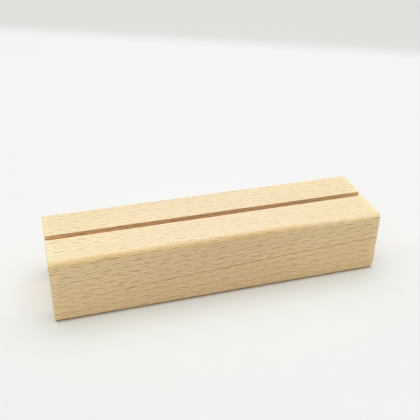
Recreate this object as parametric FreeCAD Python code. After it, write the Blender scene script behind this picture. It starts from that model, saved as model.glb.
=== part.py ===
import FreeCAD, Part
import os

# Solid wooden block that stands a photo or a card upright in a saw slot along its top.
# Millimetres. The origin is the middle of the underside, +X runs along the block,
# +Y points to the back and +Z points up.

# The planed stick, sawn to length
block_length = 150.0
block_width = 40.0
block_height = 30.0

# Rounding run along the long edges: fuller on the two top ones than on the two bottom ones
top_edge_radius = 2.5
bottom_edge_radius = 1.6

# Saw slot down the middle of the top, open at both ends, with a flat floor
slot_width = 3.3
slot_depth = 15.0

# Light sanding of the slot's two lips and of the outline of both sawn ends
slot_lip_radius = 0.3
end_edge_radius = 0.15

# How far the saw runs past the wood, and how near a point counts as on a plane
saw_overrun = 5.0
plane_tolerance = 0.001

node_name = "holder_block"


def box_between(low, high):
    """A box from its lowest corner to its highest corner."""
    size = high - low
    return Part.makeBox(size.x, size.y, size.z, low)


def runs_along_x(edge):
    """True for an edge that goes the whole length of the block."""
    return edge.BoundBox.XLength > block_length - plane_tolerance


def lies_in_end_plane(edge):
    """True for an edge of either sawn end."""
    box = edge.BoundBox
    flat = box.XLength < plane_tolerance
    return flat and abs(abs(box.Center.x) - block_length / 2) < plane_tolerance


def is_top_long_edge(edge):
    """True for the planed stick's two upper long edges."""
    return runs_along_x(edge) and edge.BoundBox.Center.z > block_height / 2


def is_bottom_long_edge(edge):
    """True for the planed stick's two lower long edges."""
    return runs_along_x(edge) and edge.BoundBox.Center.z < block_height / 2


def is_slot_lip(edge):
    """True for the two edges where the slot's walls meet the top."""
    centre = edge.BoundBox.Center
    at_top = abs(centre.z - block_height) < plane_tolerance
    at_wall = abs(abs(centre.y) - slot_width / 2) < plane_tolerance
    return runs_along_x(edge) and at_top and at_wall


def fillet_where(solid, radius, wanted):
    """Round every edge of the solid that the test picks."""
    return solid.makeFillet(radius, [edge for edge in solid.Edges if wanted(edge)])


def planed_stick():
    """The rectangular stick, sitting on the ground plane."""
    low = FreeCAD.Vector(-block_length / 2, -block_width / 2, 0)
    high = FreeCAD.Vector(block_length / 2, block_width / 2, block_height)
    return box_between(low, high)


def saw_path():
    """What the saw takes out: past both ends and past the top."""
    slot_floor = block_height - slot_depth
    low = FreeCAD.Vector(-block_length / 2 - saw_overrun, -slot_width / 2, slot_floor)
    high = FreeCAD.Vector(block_length / 2 + saw_overrun, slot_width / 2, block_height + saw_overrun)
    return box_between(low, high)


def holder_block():
    """The finished block, in the order that the wood is worked."""
    topped = fillet_where(planed_stick(), top_edge_radius, is_top_long_edge)
    rounded = fillet_where(topped, bottom_edge_radius, is_bottom_long_edge)
    slotted = rounded.cut(saw_path())
    eased = fillet_where(slotted, slot_lip_radius, is_slot_lip)
    sanded = fillet_where(eased, end_edge_radius, lies_in_end_plane)
    return sanded.Solids[0]


os.makedirs("parts", exist_ok=True)
block = holder_block()
block.exportStep(f"parts/{node_name}.step")

bounds = block.optimalBoundingBox()
print(node_name, "valid", block.isValid(), "volume mm3", round(block.Volume, 1))
print("size mm", round(bounds.XLength, 3), round(bounds.YLength, 3), round(bounds.ZLength, 3))
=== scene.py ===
import math

import bpy
import numpy as np
from mathutils import Matrix, Vector, noise


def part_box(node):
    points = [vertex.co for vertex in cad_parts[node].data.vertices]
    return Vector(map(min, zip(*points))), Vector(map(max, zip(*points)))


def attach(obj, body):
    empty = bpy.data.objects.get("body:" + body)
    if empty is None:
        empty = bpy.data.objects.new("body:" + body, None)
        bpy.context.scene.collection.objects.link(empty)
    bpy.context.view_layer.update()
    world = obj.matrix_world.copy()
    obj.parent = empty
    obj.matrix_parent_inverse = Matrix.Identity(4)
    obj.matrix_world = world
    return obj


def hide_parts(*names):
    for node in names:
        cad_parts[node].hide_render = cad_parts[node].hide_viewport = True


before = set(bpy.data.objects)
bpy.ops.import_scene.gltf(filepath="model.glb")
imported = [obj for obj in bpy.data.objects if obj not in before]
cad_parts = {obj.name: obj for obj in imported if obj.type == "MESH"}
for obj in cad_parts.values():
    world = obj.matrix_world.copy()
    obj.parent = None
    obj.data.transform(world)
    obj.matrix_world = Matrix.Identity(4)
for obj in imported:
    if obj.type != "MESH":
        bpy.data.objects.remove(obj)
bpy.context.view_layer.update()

# The block's own sizes, in metres
mm = 0.001
node_low, node_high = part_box("holder_block")
half_length = (node_high.x - node_low.x) / 2
half_width = (node_high.y - node_low.y) / 2
height = node_high.z - node_low.z
top_radius = 2.5 * mm
bottom_radius = 1.6 * mm
slot_half_width = 1.65 * mm
slot_depth = 15 * mm
lip_radius = 0.22 * mm
least_radius = 0.05 * mm
end_radius = 0.3 * mm

# How much the hand-sanded roundings vary along the block, as shares of their radii, and
# over which lengths
edge_wander_share = 0.08
lip_wander_share = 0.3
edge_wander_pitch = 14 * mm
lip_wander_pitch = 5 * mm

# Where the rows of roundings lie in the noise that they wander by
wander_row_gap = 7.3
wander_level = 0.5

# The top's front edge is rounder still up to swell_end, and less and less from there on.
swell_share = 0.17
swell_end = 20 * mm
taper_share = -0.45

# Steps of the mesh
edge_steps = 10
side_steps = 24
under_steps = 34
flat_steps = 16
end_steps = 5
section_pitch = 1 * mm

# Corners knocked a little rounder: signs of x and y, bottom 0 or top 1, depth and reach
worn_corners = (
    (1, -1, 0, 0.6 * mm, 3.2 * mm),
    (1, -1, 1, 0.35 * mm, 2.6 * mm),
    (-1, 1, 1, 0.15 * mm, 1.8 * mm),
    (1, 1, 1, 0.3 * mm, 2.4 * mm),
    (-1, -1, 0, 0.1 * mm, 1.5 * mm),
    (-1, 1, 0, 0.4 * mm, 2.5 * mm),
)

# The flat map that the finish is baked through: its side, and the gap between its islands
map_side = 184 * mm
map_gap = 2 * mm


# Shape of the block

def arc(centre_y, centre_z, radius, start, end):
    """Points of a rounding in the section plane, angles in degrees, both ends included."""
    angles = np.radians(np.linspace(start, end, edge_steps + 1))
    return [(centre_y + radius * math.cos(a), centre_z + radius * math.sin(a)) for a in angles]


def run(a, b, steps):
    """Points strictly between a and b, closer together near both ends."""
    shares = 0.5 - 0.5 * np.cos(np.pi * np.arange(1, steps) / steps)
    return [(a[0] + (b[0] - a[0]) * t, a[1] + (b[1] - a[1]) * t) for t in shares]


def wander(x, pitch, share, row):
    """A factor near 1 that drifts smoothly along the block, its own for each row."""
    return 1 + share * noise.noise(Vector((x / pitch, wander_row_gap * row, wander_level)))


def swell(x):
    """What is added to the factor of the top's front rounding."""
    way = min(max((x - swell_end) / (half_length - swell_end), 0), 1)
    return swell_share + taper_share * way * way * (3 - 2 * way)


def outer_path(x, inset):
    """The outside from the top's front edge, down, under and up to its back edge."""
    y, top, bottom = half_width - inset, height - inset, inset
    plain_radii = (top_radius, bottom_radius, bottom_radius, top_radius)
    r = [radius * wander(x, edge_wander_pitch, edge_wander_share, row) - inset
         for row, radius in enumerate(plain_radii)]
    r[0] += top_radius * swell(x)
    corners = (
        arc(-y + r[0], top - r[0], r[0], 90, 180),
        arc(-y + r[1], bottom + r[1], r[1], 180, 270),
        arc(y - r[2], bottom + r[2], r[2], 270, 360),
        arc(y - r[3], top - r[3], r[3], 0, 90),
    )
    front = run(corners[0][-1], corners[1][0], side_steps)
    under = run(corners[1][-1], corners[2][0], under_steps)
    back = run(corners[2][-1], corners[3][0], side_steps)
    return corners[0] + front + corners[1] + under + corners[2] + back + corners[3]


def inner_path(x, inset):
    """The slot from its front lip, down, across its floor and up to its back lip."""
    y, top, floor = slot_half_width + inset, height - inset, height - slot_depth - inset
    r = [max(lip_radius * wander(x, lip_wander_pitch, lip_wander_share, row) - inset, least_radius)
         for row in (4, 5)]
    front_lip = arc(-y - r[0], top - r[0], r[0], 90, 0)
    back_lip = arc(y + r[1], top - r[1], r[1], 180, 90)
    low_front, low_back = (-y, floor), (y, floor)
    down = run(front_lip[-1], low_front, side_steps)
    across = run(low_front, low_back, under_steps + 2 * edge_steps)
    up = run(low_back, back_lip[0], side_steps)
    return front_lip + down + [low_front] + across + [low_back] + up + back_lip


def sections():
    """(x, inset) of every cross-section from the left end to the right end."""
    turns = np.radians(np.linspace(0, 90, end_steps + 1))
    eased = [(end_radius * (1 - math.sin(a)), end_radius * (1 - math.cos(a))) for a in turns]
    left = [(-half_length + along, inset) for along, inset in reversed(eased)]
    right = [(half_length - along, inset) for along, inset in eased]
    plain = half_length - end_radius
    count = round(2 * plain / section_pitch)
    middle = [(x, 0) for x in np.linspace(-plain, plain, count + 1)[1:-1]]
    return left + middle + right


def wear(x, y, z):
    """Moves a point in from the worn corners, smoothly less with distance."""
    point = Vector((x, y, z))
    for side_x, side_y, level, depth, reach in worn_corners:
        corner = Vector((side_x * half_length, side_y * half_width, level * height))
        share = 1 - (point - corner).length / reach
        if share > 0:
            point += Vector((-side_x, -side_y, 1 - 2 * level)).normalized() * depth * share * share
    return tuple(point)


class Skin:
    """Points, quads and the flat map of each quad's corners."""

    def __init__(self):
        self.points, self.quads, self.places = [], [], []

    def point(self, x, y, z):
        self.points.append(wear(x, y, z))
        return len(self.points) - 1

    def quad(self, corners, places):
        self.quads.append(corners)
        self.places.extend(places)

    def mesh(self, name):
        made = bpy.data.meshes.new(name)
        made.from_pydata(self.points, [], self.quads)
        layer = made.uv_layers.new(name="OFBake")
        layer.data.foreach_set("uv", np.array(self.places).ravel() / map_side)
        made.shade_smooth()
        made.update()
        return made


def perimeter_places(loop):
    """How far round the section each point lies, with the whole way round added last."""
    ring = loop + loop[:1]
    steps = [math.dist(a, b) for a, b in zip(ring, ring[1:])]
    return [0.0, *np.cumsum(steps)]


def add_end(skin, x, outer, inner, first, facing, map_low):
    """Closes one end with rungs from the outside to the slot.

    The section's points are numbered from first on. The first and the last rung lie along
    the flat top, where the section has points already. Facing is 1 for the right end and -1
    for the left one, and map_low is the lowest corner of its island on the flat map.
    """
    count = len(outer)
    between = flat_steps - 1
    loop_size = 2 * (count + between)
    rungs, flat = [], []
    for i, (a, b) in enumerate(zip(outer, inner)):
        way = run(a, b, flat_steps)
        if i == 0:
            middle = [first + loop_size - s for s in range(1, flat_steps)]
        elif i == count - 1:
            middle = [first + count - 1 + s for s in range(1, flat_steps)]
        else:
            middle = [skin.point(x, *place) for place in way]
        rungs.append([first + i, *middle, first + 2 * count + between - 1 - i])
        flat.append([a, *way, b])
    for i in range(count - 1):
        for s in range(flat_steps):
            cell = ((i, s), (i + 1, s), (i + 1, s + 1), (i, s + 1))
            cell = cell if facing > 0 else cell[::-1]
            corners = [flat[a][b] for a, b in cell]
            places = [(map_low[0] + z, map_low[1] + half_width + y) for y, z in corners]
            skin.quad([rungs[a][b] for a, b in cell], places)


def section_loop(x, inset):
    """All points round one cross-section: outside, top behind the slot, slot, top before it."""
    outer, inner = outer_path(x, inset), inner_path(x, inset)
    back_top = run(outer[-1], inner[-1], flat_steps)
    front_top = run(inner[0], outer[0], flat_steps)
    return outer + back_top + inner[::-1] + front_top


def add_sides(skin, rows, round_places):
    """Quads from each section to the next, all round."""
    size = len(round_places) - 1
    for k, ((x0, _), (x1, _)) in enumerate(zip(rows, rows[1:])):
        u0, u1 = x0 + half_length, x1 + half_length
        for j in range(size):
            a, b = k * size + j, k * size + (j + 1) % size
            v0, v1 = round_places[j], round_places[j + 1]
            skin.quad((a, b, b + size, a + size), ((u0, v0), (u0, v1), (u1, v1), (u1, v0)))


def block_mesh():
    """The block as one closed mesh of quads. Its middle section gives the map its widths."""
    skin = Skin()
    rows = sections()
    loops = [section_loop(x, inset) for x, inset in rows]
    for (x, _), loop in zip(rows, loops):
        for y, z in loop:
            skin.point(x, y, z)
    add_sides(skin, rows, perimeter_places(loops[len(loops) // 2]))
    size = len(loops[0])
    ends_u = 2 * half_length + map_gap
    for k, facing, low_v in ((0, -1, 0), (len(rows) - 1, 1, 2 * half_width + map_gap)):
        x, inset = rows[k]
        add_end(skin, x, outer_path(x, inset), inner_path(x, inset), k * size, facing, (ends_u, low_v))
    return skin.mesh("beech_block")


# Node graphs

class Graph:
    """Adds nodes to one node tree. Each method gives back an output socket."""

    def __init__(self, tree):
        self.tree = tree
        tree.nodes.clear()

    def node(self, kind, **settings):
        made = self.tree.nodes.new(kind)
        for name, value in settings.items():
            setattr(made, name, value)
        return made

    def put(self, socket, value):
        """Links an output to the socket, or writes a plain value into it."""
        if isinstance(value, bpy.types.NodeSocket):
            self.tree.links.new(value, socket)
        else:
            socket.default_value = value

    def math(self, operation, *values):
        made = self.node("ShaderNodeMath", operation=operation)
        for socket, value in zip(made.inputs, values):
            self.put(socket, value)
        return made.outputs[0]

    def add(self, *values):
        total = values[0]
        for value in values[1:]:
            total = self.math("ADD", total, value)
        return total

    def times(self, *values):
        total = values[0]
        for value in values[1:]:
            total = self.math("MULTIPLY", total, value)
        return total

    def absolute(self, value):
        return self.math("ABSOLUTE", value)

    def around(self, value, depth, middle=0.5):
        """The value's way from its middle, times a depth."""
        return self.times(self.add(value, -middle), depth)

    def vector(self, operation, *values):
        made = self.node("ShaderNodeVectorMath", operation=operation)
        for socket, value in zip(made.inputs, values):
            self.put(socket, value)
        return made.outputs[0]

    def scale(self, vector, factor):
        made = self.node("ShaderNodeVectorMath", operation="SCALE")
        self.put(made.inputs["Vector"], vector)
        self.put(made.inputs["Scale"], factor)
        return made.outputs[0]

    def split(self, value):
        made = self.node("ShaderNodeSeparateXYZ")
        self.put(made.inputs[0], value)
        return made.outputs

    def join(self, x, y, z):
        made = self.node("ShaderNodeCombineXYZ")
        for socket, value in zip(made.inputs, (x, y, z)):
            self.put(socket, value)
        return made.outputs[0]

    def step(self, value, low, high, low_out=0.0, high_out=1.0):
        """A smooth ramp from low_out at low to high_out at high."""
        made = self.node("ShaderNodeMapRange", interpolation_type="SMOOTHSTEP")
        values = (value, low, high, low_out, high_out)
        for name, number in zip(("Value", "From Min", "From Max", "To Min", "To Max"), values):
            self.put(made.inputs[name], number)
        return made.outputs["Result"]

    def noise(self, place, detail=2.0, roughness=0.5, output="Fac"):
        made = self.node("ShaderNodeTexNoise")
        self.put(made.inputs["Vector"], place)
        made.inputs["Scale"].default_value = 1.0
        made.inputs["Detail"].default_value = detail
        made.inputs["Roughness"].default_value = roughness
        return made.outputs[output]

    def grain(self, wood, pattern):
        """Noise that changes at its own rate along the length, the arc and the radius."""
        rates, detail, roughness = pattern
        place = self.join(*(self.times(one, rate) for one, rate in zip(wood, rates)))
        return self.noise(place, detail, roughness)

    def draw(self, place, dimensions):
        """A random node for a whole number, or for a pair of them."""
        made = self.node("ShaderNodeTexWhiteNoise", noise_dimensions=dimensions)
        self.put(made.inputs["W" if dimensions == "1D" else "Vector"], place)
        return made

    def mix(self, share, a, b, blend="MIX"):
        made = self.node("ShaderNodeMix", data_type="RGBA", blend_type=blend)
        self.put(made.inputs["Factor"], share)
        for name, colour in (("A_Color", a), ("B_Color", b)):
            socket = next(one for one in made.inputs if one.identifier == name)
            self.put(socket, colour if isinstance(colour, bpy.types.NodeSocket) else (*colour, 1))
        return next(one for one in made.outputs if one.identifier == "Result_Color")

    def tint(self, colour, share, factor):
        """The colour times the factor where share is 1, and unchanged where it is 0."""
        return self.mix(share, colour, factor, "MULTIPLY")


# The wood. Lengths from here to the floor are in millimetres. A ramp is a smooth step: where
# it starts and ends, and what it gives there where that isn't 0 and 1.

# The middle of the tree that the block was cut from, and the block's mean distance from it
pith_y, pith_z = 60.0, -37.0
mean_radius = 95.0

# The block lies askew in the tree: what each millimetre along it adds across and up.
drift_y, drift_z = 0.0077, -0.033

# How the grain sways: the pitch and size of it, and the noise's detail
sway_pitch, sway_size, sway_detail = 42.0, 0.6, 1.0
noise_middle = (0.5, 0.5, 0.5)

# Away from the front face the rows of flecks also slant across the block, in a slow bend.
slant, slant_bend = 0.057, -0.00048
slant_ramp = (-22.0, 8.0)

# Growth rings: their width, how unevenly they come, and where in a ring, from its start 0 to
# its end 1, the late wood and the dark line gain strength and lose it
ring_width = 1.6
ring_unevenness = 1.1
late_ramp = (0.1, 0.95)
line_ramp = (0.8, 0.92)
ring_end_ramp = (0.95, 1.0, 1.0, 0.0)

# The lines are broken along the block, each in places of its own.
line_gap_rate = 0.1
line_gap_shift = 7.7
line_gap_ramp = (0.4, 0.6)

# One line is bolder than the rest: its radius, how it fades away from there, and how it sets
# in along the block
bold_radius = 94.97
bold_ramp = (0.1, 0.25, 1.0, 0.0)
bold_along_ramp = (-60.0, 10.0)

# Noises: rates per millimetre of length, arc and radius, then detail and roughness
ring_noise = ((0.003, 0.0, 0.12), 2.0, 0.5)
row_noise = ((0.011, 0.0, 1.3), 3.0, 0.7)
streak_noise = ((0.12, 2.0, 2.0), 1.0, 0.5)
fibre_noise = ((0.35, 1.3, 1.3), 1.0, 0.6)
broad_noise = ((0.018, 0.06, 0.06), 1.0, 0.5)
wiggle_noise = ((0.06, 0.12, 0.05), 1.0, 0.5)
pore_noise = ((0.2, 4.5, 4.5), 1.0, 0.5)
ray_gap_noise = ((0.0, 1.7, 0.16), 1.0, 0.5)

# Ray flecks, large to small: cell length and width, half thickness, softness, strength,
# and a shift that makes each layer its own
fleck_layers = (
    (8.6, 1.05, 0.115, 0.045, 1.0, 3.7),
    (6.2, 0.74, 0.09, 0.04, 0.6, 31.7),
    (4.2, 0.50, 0.075, 0.035, 0.45, 77.1),
)

# The cells lie like bricks, each row on by half a cell and slid by up to half a cell more.
brick_share = 0.5
slide_share = 0.5

# A fleck reaches to both sides by a share of its cell's length, and fades at its tips.
least_reach_share = 0.30
reach_spread_share = 0.18
tip_ramp = (0.0, 0.35)

# How widely flecks scatter about their row's middle, as a share of the row's width, how
# widely they lean, and how far the rows wave. Paler wood lies beside a fleck as far as the
# halo reaches.
scatter_share = 0.3
fleck_lean = 0.04
fleck_wiggle = 2.2
halo_reach = 0.42

# Luck makes some flecks darker than others. luck_rate turns the random number that sets a
# fleck's reach into a second one.
least_luck, luck_spread = 0.35, 0.65
luck_rate = 7.0

# How dark each part of the figure is, how much of red, green and blue the dark takes, and
# the least that stays of them
row_depth = 0.06
streak_depth = 0.05
late_depth = 0.05
mean_late = 0.35
line_depth = 0.11
bold_depth = 0.20
fleck_depth = 0.92
halo_depth = 0.27
fibre_depth = 0.09
pore_depth = 0.22
figure_tint = (0.725, 1.0, 1.60)
darkest = (0.08, 0.08, 0.08)

# Where the figure is stronger or calmer. A facing is how far the surface turns to an axis,
# 0 to 1, and flats face up or down.
end_facing_ramp = (0.5, 0.8)
ray_gap_ramp = (0.4, 0.6, 1.0, 0.25)
flecks_in_early_wood, more_in_late_wood = 0.75, 0.35
rows_on_flats_ramp = (0.5, 0.95, 1.0, 0.4)
flecks_on_back_ramp = (0.5, 0.95, 1.0, 0.65)
flat_facing_ramp = (0.5, 0.95, 1.0)
flecks_across_top_ramp = (-2.0, 2.0, 0.66, 0.86)
along_rays_ramp = (0.06, 0.3, 1.0, 0.08)

# Colours of the wood, linear. The block's middle is rosier than its ends.
pale_wood = (0.918, 0.772, 0.516)
rosy_wood = (0.872, 0.711, 0.485)
rosy_ramp = (5.0, 70.0, 0.8, 0.1)
rosy_unevenness = 1.2

# Colours from here on multiply the wood's. A darker, golden painted shade lies on the top roundings
# and a darker painted shade on the bottom ones, both least near the right end.
edge_shade_along_ramp = (20.0, 62.0, 1.0, 0.35)
painted_shade_top_edge = (0.94, 0.84, 0.65)
painted_shade_top_ramp = (0.05, 0.42)
painted_shade_bottom_edge = (0.68, 0.65, 0.54)
painted_shade_under_ramp = (-0.8, -0.42, 1.0, 0.0)
painted_shade_bottom_facing_ramp = (0.1, 0.4)

# The bottom roundings are paler where they start to turn under: painted light from the floor.
painted_bounce_edge = (1.05, 1.13, 1.27)
painted_bounce_start_ramp = (-0.3, -0.08, 1.0, 0.0)
painted_bounce_end_ramp = (-0.75, -0.4)
painted_bounce_facing_ramp = (0.5, 0.7)

# The top roundings are brighter near the right end: a painted highlight.
painted_highlight_edge = (1.10, 1.09, 1.02)
painted_highlight_height_ramp = (26.8, 28.3)
painted_highlight_facing_ramp = (0.4, 0.7)
painted_highlight_along_ramp = (40.0, 66.0)

# A painted highlight makes the wood lighter just before the sawn ends, and the ends themselves are darker.
painted_end_highlight = (1.05, 1.07, 1.06)
painted_end_highlight_ramp = (71.5, 74.0)
end_grain = (0.84, 0.76, 0.66)

# The flat top is more golden towards both ends.
golden_top = (0.955, 0.94, 0.90)
golden_facing_ramp = (0.985, 1.0)
golden_along_ramp = (15.0, 65.0)

# The walls and floor of the slot are tinted browner, and a painted shade darkens them more near the right
# end. The brown is full up to a margin past the wall. Below the top it starts and is full at two shares of
# the lips' radius.
sawn_wall = (1.04, 0.88, 0.75)
painted_shade_wall = (0.87, 0.90, 0.94)
painted_shade_wall_ramp = (28.0, 58.0)
wall_margin = 0.05
mouth_start_share, mouth_full_share = 0.2, 2

# Fibres stand up a little and are duller, flecks lie low
fibre_height = 0.6
bump_strength = 0.1
bump_depth = 0.02
roughness_ramp = (0.2, 0.8, 0.5, 0.66)
shine = 0.35


class Spot:
    """A spot of the surface: its place in the block and how far it faces along each axis."""

    def __init__(self, g):
        source = g.node("ShaderNodeTexCoord")
        self.place = g.scale(source.outputs["Object"], 1 / mm)
        self.x, self.y, self.z = g.split(self.place)
        self.from_middle = g.absolute(self.x)
        normal = g.split(source.outputs["Normal"])
        _, self.backward, self.upward = normal
        self.face_x, self.face_y, self.face_z = (g.absolute(one) for one in normal)
        self.face_out = g.math("MAXIMUM", self.face_y, self.face_x)
        self.on_end = g.step(self.face_x, *end_facing_ramp)


def tree_coordinates(g, spot):
    """Length, arc and radius of a spot in the tree."""
    sway = g.noise(g.scale(spot.place, 1 / sway_pitch), sway_detail, output="Color")
    sway_y, sway_z, _ = g.split(g.vector("SUBTRACT", sway, noise_middle))
    across = g.add(spot.y, g.times(spot.x, drift_y), g.times(sway_y, sway_size))
    up = g.add(spot.z, g.times(spot.x, drift_z), g.times(sway_z, sway_size))
    inward = g.math("SUBTRACT", pith_y, across)
    upward = g.math("SUBTRACT", up, pith_z)
    radius = g.math("SQRT", g.add(g.times(inward, inward), g.times(upward, upward)))
    slanted = g.times(spot.x, g.math("MULTIPLY_ADD", spot.x, slant_bend, slant),
                      g.step(spot.y, *slant_ramp))
    arc_length = g.add(g.times(g.math("ARCTAN2", upward, inward), mean_radius), slanted)
    return spot.x, arc_length, radius


def fleck_layer(g, wood, wiggle, layer):
    """Rays cut across: thin dashes in rows along the grain, and the paler wood beside them."""
    length, arc_length, _ = wood
    cell_long, cell_wide, half_thick, soft, strength, shift = layer
    rows = g.math("MULTIPLY_ADD", g.add(arc_length, wiggle), 1 / cell_wide, shift)
    row = g.math("FLOOR", rows)
    slide = g.draw(row, "1D").outputs["Value"]
    places = g.add(g.times(length, 1 / cell_long), g.times(row, brick_share),
                   g.times(slide, slide_share))
    chance = g.split(g.draw(g.join(row, g.math("FLOOR", places), 0.0), "2D").outputs["Color"])
    along = g.around(g.math("FRACT", places), cell_long)
    scatter = g.around(chance[0], scatter_share)
    lean = g.times(g.around(chance[2], fleck_lean), along)
    across = g.absolute(g.add(g.times(g.add(g.math("FRACT", rows), -0.5, scatter), cell_wide), lean))
    reach = g.math("MULTIPLY_ADD", chance[1], reach_spread_share * cell_long,
                   least_reach_share * cell_long)
    share = g.math("DIVIDE", along, reach)
    taper = g.math("SUBTRACT", 1.0, g.times(share, share))
    inside = g.math("SUBTRACT", g.times(taper, half_thick), across)
    luck = g.math("MULTIPLY_ADD", g.math("FRACT", g.times(chance[1], luck_rate)),
                  luck_spread, least_luck)
    weight = g.times(luck, strength, g.step(taper, *tip_ramp))
    dark = g.times(g.step(inside, -soft, soft), weight)
    beside = g.math("SUBTRACT", g.step(inside, -halo_reach, 0.0), g.step(inside, -soft, soft))
    return dark, g.times(beside, weight)


def ring_pattern(g, wood):
    """Share of late wood, the thin line that each ring ends in, and the one bold line."""
    length, _, radius = wood
    turns = g.add(g.times(radius, 1 / ring_width), g.times(g.grain(wood, ring_noise), ring_unevenness))
    phase = g.math("FRACT", turns)
    number = g.math("FLOOR", turns)
    ending = g.step(phase, *ring_end_ramp)
    late = g.times(g.step(phase, *late_ramp), ending)
    gaps = g.noise(g.join(g.times(length, line_gap_rate), g.times(number, line_gap_shift), 0.0))
    line = g.times(g.step(phase, *line_ramp), ending, g.draw(number, "1D").outputs["Value"],
                   g.step(gaps, *line_gap_ramp))
    from_bold = g.absolute(g.math("SUBTRACT", radius, bold_radius))
    bold = g.times(g.step(from_bold, *bold_ramp), g.step(length, *bold_along_ramp))
    return late, line, bold


def fleck_pattern(g, spot, wood, late):
    """The strongest of the fleck layers, and their halos."""
    wiggle = g.around(g.grain(wood, wiggle_noise), fleck_wiggle)
    flecks, halos = 0.0, 0.0
    for layer in fleck_layers:
        dark, beside = fleck_layer(g, wood, wiggle, layer)
        flecks = g.math("MAXIMUM", flecks, dark)
        halos = g.math("MAXIMUM", halos, beside)
    # The rounding between top and back lies along the rays, so it hardly cuts any.
    back_edge = g.times(g.math("MAXIMUM", spot.backward, 0.0), spot.upward)
    along_rays = g.step(back_edge, *along_rays_ramp)
    strength = g.math("MULTIPLY_ADD", late, more_in_late_wood, flecks_in_early_wood)
    return g.times(flecks, strength, along_rays), g.times(halos, along_rays)


def wood_figure(g, spot, wood):
    """How dark the figure is, with the fibres and flecks, which the relief takes too."""
    late, line, bold = ring_pattern(g, wood)
    rows, streaks, fibres = (g.grain(wood, one) for one in (row_noise, streak_noise, fibre_noise))
    pores = g.times(g.around(g.grain(wood, pore_noise), pore_depth), spot.on_end)
    flecks, halos = fleck_pattern(g, spot, wood, late)

    # The top's figure is calmer than the front's, as in the photograph, and its flecks more so
    # before the slot than behind it. The underside and the back, which the photograph hides,
    # are calmed too. On the ends gaps break the rays.
    calm_rows = g.step(spot.face_z, *rows_on_flats_ramp)
    ray_gaps = g.step(g.grain(wood, ray_gap_noise), *ray_gap_ramp)
    flecks_on_top = g.step(spot.y, *flecks_across_top_ramp)
    calm_flecks = g.times(g.step(spot.face_z, *flat_facing_ramp, flecks_on_top),
                          g.step(spot.backward, *flecks_on_back_ramp),
                          g.math("SUBTRACT", 1.0, g.times(spot.on_end, ray_gaps)))
    rows_dark = g.add(g.around(rows, row_depth), g.around(late, late_depth, mean_late),
                      g.around(streaks, streak_depth), g.times(line, line_depth), g.times(bold, bold_depth))
    dark = g.add(g.times(rows_dark, calm_rows), g.times(flecks, calm_flecks, fleck_depth),
                 g.times(halos, -halo_depth), g.around(fibres, fibre_depth), pores)
    return dark, fibres, flecks


def plain_colour(g, spot, wood, dark):
    """The wood's own colour with its figure."""
    rosy = g.add(g.step(spot.from_middle, *rosy_ramp),
                 g.around(g.grain(wood, broad_noise), rosy_unevenness))
    colour = g.mix(g.step(rosy, 0.0, 1.0), pale_wood, rosy_wood)
    left = g.vector("SUBTRACT", (1.0, 1.0, 1.0), g.scale(figure_tint, dark))
    return g.vector("MULTIPLY", colour, g.vector("MAXIMUM", left, darkest))


def tint_outside(g, spot, colour):
    """Tints of the edges, the ends and the top: painted shade on the roundings, painted light and painted
    highlights.
    """
    # How strong the painted shade on the top and bottom roundings is along the block, least near the right
    # end.
    edge_shade_along = g.step(spot.x, *edge_shade_along_ramp)
    # Facing up times facing out is 0 on the flats and 0.5 in the middle of a top rounding.
    top_edge = g.step(g.times(spot.upward, spot.face_out), *painted_shade_top_ramp)
    # Painted shade, darker and more golden, on the top roundings.
    colour = g.tint(colour, g.times(top_edge, edge_shade_along), painted_shade_top_edge)
    # Painted shade on the bottom roundings, where they turn under towards the floor.
    bottom_edge = g.times(g.step(spot.upward, *painted_shade_under_ramp), g.step(spot.face_out, *painted_shade_bottom_facing_ramp))
    colour = g.tint(colour, g.times(bottom_edge, edge_shade_along), painted_shade_bottom_edge)
    # Painted light from the floor on the bottom roundings.
    turning = g.times(g.step(spot.upward, *painted_bounce_start_ramp), g.step(spot.upward, *painted_bounce_end_ramp),
                      g.step(spot.face_y, *painted_bounce_facing_ramp))
    colour = g.tint(colour, turning, painted_bounce_edge)
    # Painted highlight on the top roundings near the right end.
    painted_highlight = g.times(g.step(spot.z, *painted_highlight_height_ramp), g.step(spot.face_y, *painted_highlight_facing_ramp),
                     g.step(spot.x, *painted_highlight_along_ramp))
    colour = g.tint(colour, painted_highlight, painted_highlight_edge)
    # Painted highlight just before both ends.
    colour = g.tint(colour, g.step(spot.from_middle, *painted_end_highlight_ramp), painted_end_highlight)
    golden = g.times(g.step(spot.upward, *golden_facing_ramp),
                     g.step(spot.from_middle, *golden_along_ramp))
    colour = g.tint(colour, golden, golden_top)
    return g.tint(colour, spot.on_end, end_grain)


def tint_slot(g, spot, colour):
    """Brown walls and floor, down from the mouth, with painted shade towards the right end."""
    wall = ((slot_half_width + wall_margin * mm) / mm, (slot_half_width + lip_radius) / mm)
    mouth = [(height - share * lip_radius) / mm for share in (mouth_full_share, mouth_start_share)]
    slot_floor = ((height - slot_depth - lip_radius) / mm, (height - slot_depth) / mm)
    within = g.step(g.absolute(spot.y), *wall, 1.0, 0.0)
    below = g.step(spot.z, *mouth, 1.0, 0.0)
    above = g.step(spot.z, *slot_floor)
    in_slot = g.times(within, below, above)
    colour = g.tint(colour, in_slot, sawn_wall)
    # Painted shade in the slot towards the right end.
    return g.tint(colour, g.times(in_slot, g.step(spot.x, *painted_shade_wall_ramp)), painted_shade_wall)


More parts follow.
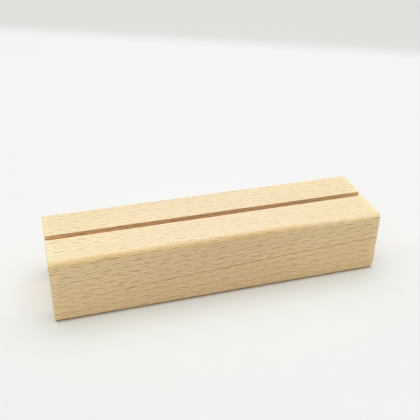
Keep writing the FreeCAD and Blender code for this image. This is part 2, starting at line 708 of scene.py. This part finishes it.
def wood_material():
    """Sanded, unvarnished beech, solid through the block."""
    material = bpy.data.materials.new("beech")
    material.use_nodes = True
    g = Graph(material.node_tree)
    spot = Spot(g)
    wood = tree_coordinates(g, spot)
    dark, fibres, flecks = wood_figure(g, spot, wood)
    colour = plain_colour(g, spot, wood, dark)
    colour = tint_outside(g, spot, colour)
    colour = tint_slot(g, spot, colour)

    bump = g.node("ShaderNodeBump")
    bump.inputs["Strength"].default_value = bump_strength
    bump.inputs["Distance"].default_value = bump_depth * mm
    g.put(bump.inputs["Height"], g.math("SUBTRACT", g.times(fibres, fibre_height), flecks))

    surface = g.node("ShaderNodeBsdfPrincipled")
    g.put(surface.inputs["Base Color"], colour)
    g.put(surface.inputs["Roughness"], g.step(fibres, *roughness_ramp))
    g.put(surface.inputs["Normal"], bump.outputs["Normal"])
    surface.inputs["Specular IOR Level"].default_value = shine
    out = g.node("ShaderNodeOutputMaterial")
    g.put(out.inputs["Surface"], surface.outputs["BSDF"])
    return material


def block_piece():
    piece = bpy.data.objects.new("beech_block", block_mesh())
    bpy.context.scene.collection.objects.link(piece)
    piece.data.materials.append(wood_material())
    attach(piece, "root")
    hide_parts("holder_block")


# Floor, light and camera, in metres again. The floor sends out warmer light near the block,
# since wood and floor light each other.

floor_half_size = 3.0
far_bounce = (0.86, 0.77, 0.64)
near_bounce = (0.88, 0.71, 0.51)
near_reach = 0.06

# To the camera it is nearly white, with a painted shadow a little darker ahead of the block, painted light
# beside its left end, a painted contact shadow where the two touch, and grey past a soft border far behind.
# The painted shadow ahead starts and is full at two shares of the half width.
floor_seen = (0.852, 0.861, 0.862)
painted_shadow_ahead = (0.816, 0.840, 0.832)
ahead_start_share, ahead_full_share = -8, -3
painted_light_beside = (0.98, 1.0, 1.0)
beside_reach = 0.013
floor_far = (0.70, 0.71, 0.69)
far_across, far_back = 0.423, 0.906
far_ramp = (0.335, 0.385)
painted_contact_shadow = (0.70, 0.66, 0.57)
contact_reach = 1.4 * mm
contact_under_share = 0.2
contact_end_reach = 1 * mm

# The sky's light fades to nothing at the horizon. The camera and mirrors see a pale
# backdrop in its place.
sky_zenith = (1.64, 1.64, 1.61)
sky_horizon = (0.0, 0.0, 0.0)
sky_seen = (0.90, 0.92, 0.90)
sky_low = (0.74, 0.76, 0.75)
sky_low_reach = 0.3
lamp_watts = 5.4
lamp_size = 1.2
lamp_place = (0.1, 0.25, 1.3)

# The camera, fitted to the photograph: angles in degrees, distance and shift in metres, the
# focal length in pixels of a square picture, and the sensor in millimetres
camera_azimuth = -16.491
camera_elevation = 31.619
camera_roll = 0.758
camera_distance = 309.08 * mm
camera_right = -1.06 * mm
camera_up = 27.62 * mm
nearest_seen = 10 * mm
focal_px = 642.2
frame_px = 420
sensor_width = 36.0


def floor_colour(g, x, y):
    """What the camera sees of the floor, with painted shadows and painted light near the block."""
    # Painted shadow ahead of the block.
    ahead = g.times(g.step(y, ahead_start_share * half_width, ahead_full_share * half_width),
                    g.step(y, -half_width, 0.0, 1.0, 0.0))
    shown = g.mix(ahead, floor_seen, painted_shadow_ahead)
    # Painted light beside the left end.
    beside = g.times(g.step(x, -half_length - beside_reach, -half_length),
                     g.step(x, -half_length, -half_length + beside_reach, 1.0, 0.0),
                     g.step(g.absolute(y), half_width - beside_reach, half_width, 1.0, 0.0))
    shown = g.mix(beside, shown, painted_light_beside)
    beyond = g.step(g.add(g.times(x, far_across), g.times(y, far_back)), *far_ramp)
    shown = g.mix(beyond, shown, floor_far)
    # Painted contact shadow where block and floor touch.
    ends = (half_length - contact_end_reach, half_length + contact_end_reach)
    sides = (half_width - contact_under_share * contact_reach, half_width + contact_reach)
    contact = g.times(g.step(g.absolute(x), *ends, 1.0, 0.0), g.step(g.absolute(y), *sides, 1.0, 0.0))
    return g.tint(shown, contact, painted_contact_shadow)


def floor_bounce(g, x, y):
    """What the block and the rest of the scene see of it."""
    out_x = g.math("MAXIMUM", g.math("SUBTRACT", g.absolute(x), half_length), 0.0)
    out_y = g.math("MAXIMUM", g.math("SUBTRACT", g.absolute(y), half_width), 0.0)
    away = g.math("SQRT", g.add(g.times(out_x, out_x), g.times(out_y, out_y)))
    return g.mix(g.step(away, 0.0, near_reach), near_bounce, far_bounce)


def floor():
    """A wide matte sheet, with one colour for the camera and one for its light."""
    mesh = bpy.data.meshes.new("floor")
    s = floor_half_size
    mesh.from_pydata([(-s, -s, 0), (s, -s, 0), (s, s, 0), (-s, s, 0)], [], [(0, 1, 2, 3)])
    plane = bpy.data.objects.new("floor", mesh)
    bpy.context.scene.collection.objects.link(plane)
    material = bpy.data.materials.new("floor")
    material.use_nodes = True
    g = Graph(material.node_tree)
    x, y, _ = g.split(g.node("ShaderNodeTexCoord").outputs["Object"])
    seen = g.node("ShaderNodeLightPath").outputs["Is Camera Ray"]
    diffuse = g.node("ShaderNodeBsdfDiffuse")
    g.put(diffuse.inputs["Color"], g.mix(seen, floor_bounce(g, x, y), floor_colour(g, x, y)))
    out = g.node("ShaderNodeOutputMaterial")
    g.put(out.inputs["Surface"], diffuse.outputs["BSDF"])
    mesh.materials.append(material)


def sky():
    """A soft white dome, brightest overhead."""
    world = bpy.data.worlds.new("sky")
    bpy.context.scene.world = world
    world.use_nodes = True
    g = Graph(world.node_tree)
    up = g.math("MAXIMUM", g.split(g.node("ShaderNodeTexCoord").outputs["Generated"])[2], 0.0)
    backdrop = g.mix(g.step(up, 0.0, sky_low_reach), sky_low, sky_seen)
    glow = g.mix(g.times(up, up), sky_horizon, sky_zenith)
    path = g.node("ShaderNodeLightPath")
    shown = g.math("MAXIMUM", path.outputs["Is Camera Ray"], path.outputs["Is Glossy Ray"])
    shown = g.math("MAXIMUM", shown, path.outputs["Is Transmission Ray"])
    background = g.node("ShaderNodeBackground")
    g.put(background.inputs["Color"], g.mix(shown, glow, backdrop))
    out = g.node("ShaderNodeOutputWorld")
    g.put(out.inputs["Surface"], background.outputs["Background"])


def lamp():
    """One broad panel overhead, a little behind the block."""
    data = bpy.data.lights.new("overhead_panel", "AREA")
    data.shape = "SQUARE"
    data.size = lamp_size
    data.energy = lamp_watts
    panel = bpy.data.objects.new("overhead_panel", data)
    bpy.context.scene.collection.objects.link(panel)
    panel.location = lamp_place
    panel.rotation_euler = Vector(lamp_place).to_track_quat("Z", "Y").to_euler()


def camera():
    """Stands where the photograph was taken from."""
    azimuth, elevation, roll = map(math.radians, (camera_azimuth, camera_elevation, camera_roll))
    level = Vector((math.sin(azimuth), -math.cos(azimuth), 0))
    back = level * math.cos(elevation) + Vector((0, 0, math.sin(elevation)))
    right = Vector((math.cos(azimuth), math.sin(azimuth), 0))
    up = back.cross(right)
    place = back * camera_distance + right * camera_right + up * camera_up
    turned_right = right * math.cos(roll) + up * math.sin(roll)
    turned_up = up * math.cos(roll) - right * math.sin(roll)
    data = bpy.data.cameras.new("camera")
    data.sensor_width = sensor_width
    data.lens = sensor_width * focal_px / frame_px
    data.clip_start = nearest_seen
    made = bpy.data.objects.new("camera", data)
    bpy.context.scene.collection.objects.link(made)
    made.matrix_world = Matrix((turned_right, turned_up, back)).transposed().to_4x4()
    made.location = place
    bpy.context.scene.camera = made


block_piece()
floor()
sky()
lamp()
camera()
bpy.context.scene.view_settings.view_transform = "Standard"
